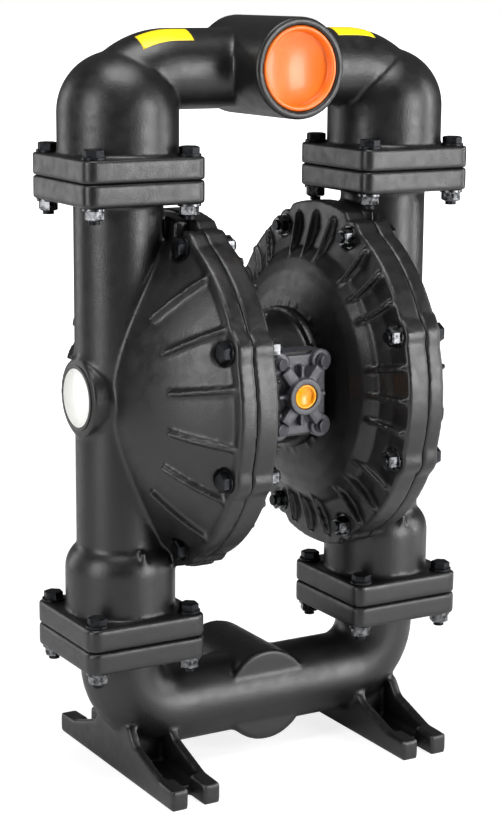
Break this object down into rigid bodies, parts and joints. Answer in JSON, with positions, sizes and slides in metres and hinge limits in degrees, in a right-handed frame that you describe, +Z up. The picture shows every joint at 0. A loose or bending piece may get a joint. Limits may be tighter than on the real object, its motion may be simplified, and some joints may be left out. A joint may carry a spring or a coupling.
{
  "type": "air operated double diaphragm pump",
  "caption": "Air operated double diaphragm pump with flanged cast chambers, ball check stacks, ported manifolds and slotted channel feet",
  "frame": {"origin": "on the floor, under the centre of the pump", "axes": "+Z up; X along the diaphragm rod; -Y the side with the discharge port and the air inlet; +Y the side with the suction port"},
  "size_m": [0.474, 0.39, 0.823],
  "materials": {
    "cast_black": "satin black coating on a sand cast surface",
    "bolt_black": "black oxide steel fastener",
    "nut_zinc": "zinc plated and darkened steel",
    "seat_metal": "machined",
    "rubber_black": "moulded",
    "ball_rubber": "ground",
    "rod_steel": "ground",
    "plate_metal": "machined",
    "bush_plastic": "machined",
    "gasket": "cut sheet",
    "sleeve_brass": "machined",
    "spool_metal": "machined",
    "plug_orange": "moulded",
    "label_white": "bare printed disc"
  },
  "bodies": {
    "housing": {"center_section": "cast_black", "discharge_flange_bolts": "bolt_black", "discharge_flange_nuts": "nut_zinc", "discharge_manifold": "cast_black", "discharge_seat_rings": "rubber_black", "discharge_seats": "seat_metal", "hub_screws": "bolt_black", "label_disc": "label_white", "left_air_chamber": "cast_black", "left_chamber_bolts": "bolt_black", "left_chamber_nuts": "bolt_black", "left_diaphragm": "rubber_black", "left_fluid_chamber": "cast_black", "right_air_chamber": "cast_black", "right_chamber_bolts": "bolt_black", "right_chamber_nuts": "bolt_black", "right_diaphragm": "rubber_black", "right_fluid_chamber": "cast_black", "rod_bushings": "bush_plastic", "rod_seals": "rubber_black", "suction_flange_bolts": "bolt_black", "suction_flange_nuts": "nut_zinc", "suction_manifold": "cast_black", "suction_seat_rings": "rubber_black", "suction_seats": "seat_metal", "valve_body": "cast_black", "valve_cap": "cast_black", "valve_end_plugs": "spool_metal", "valve_gasket": "gasket", "valve_screws": "bolt_black", "valve_sleeve": "sleeve_brass"},
    "rod": {"diaphragm_rod": "rod_steel", "outer_plates": "plate_metal", "inner_plates": "plate_metal"},
    "right_suction_valve": {"right_suction_ball": "ball_rubber"},
    "left_suction_valve": {"left_suction_ball": "ball_rubber"},
    "right_discharge_valve": {"right_discharge_ball": "ball_rubber"},
    "left_discharge_valve": {"left_discharge_ball": "ball_rubber"},
    "spool": {"valve_spool": "spool_metal"},
    "port_plug": {"discharge_plug": "plug_orange"},
    "air_plug": {"inlet_plug": "plug_orange"}
  },
  "joints": [
    {"name": "rod_stroke", "type": "slide", "parent": "housing", "child": "rod", "axis": [1, 0, 0], "range_m": [-0.026, 0.026], "deforming": ["right_diaphragm", "left_diaphragm"]},
    {"name": "spool_shift", "type": "slide", "parent": "housing", "child": "spool", "axis": [1, 0, 0], "range_m": [-0.008, 0.008]},
    {"name": "port_plug_pull", "type": "slide", "parent": "housing", "child": "port_plug", "axis": [0, -1, 0], "range_m": [0, 0.06]},
    {"name": "air_plug_pull", "type": "slide", "parent": "housing", "child": "air_plug", "axis": [0, -1, 0], "range_m": [0, 0.04]},
    {"name": "right_suction_lift", "type": "slide", "parent": "housing", "child": "right_suction_valve", "axis": [0, 0, 1], "range_m": [0, 0.016]},
    {"name": "left_suction_lift", "type": "slide", "parent": "housing", "child": "left_suction_valve", "axis": [0, 0, 1], "range_m": [0, 0.016]},
    {"name": "right_discharge_lift", "type": "slide", "parent": "housing", "child": "right_discharge_valve", "axis": [0, 0, 1], "range_m": [0, 0.016]},
    {"name": "left_discharge_lift", "type": "slide", "parent": "housing", "child": "left_discharge_valve", "axis": [0, 0, 1], "range_m": [0, 0.016]}
  ]
}
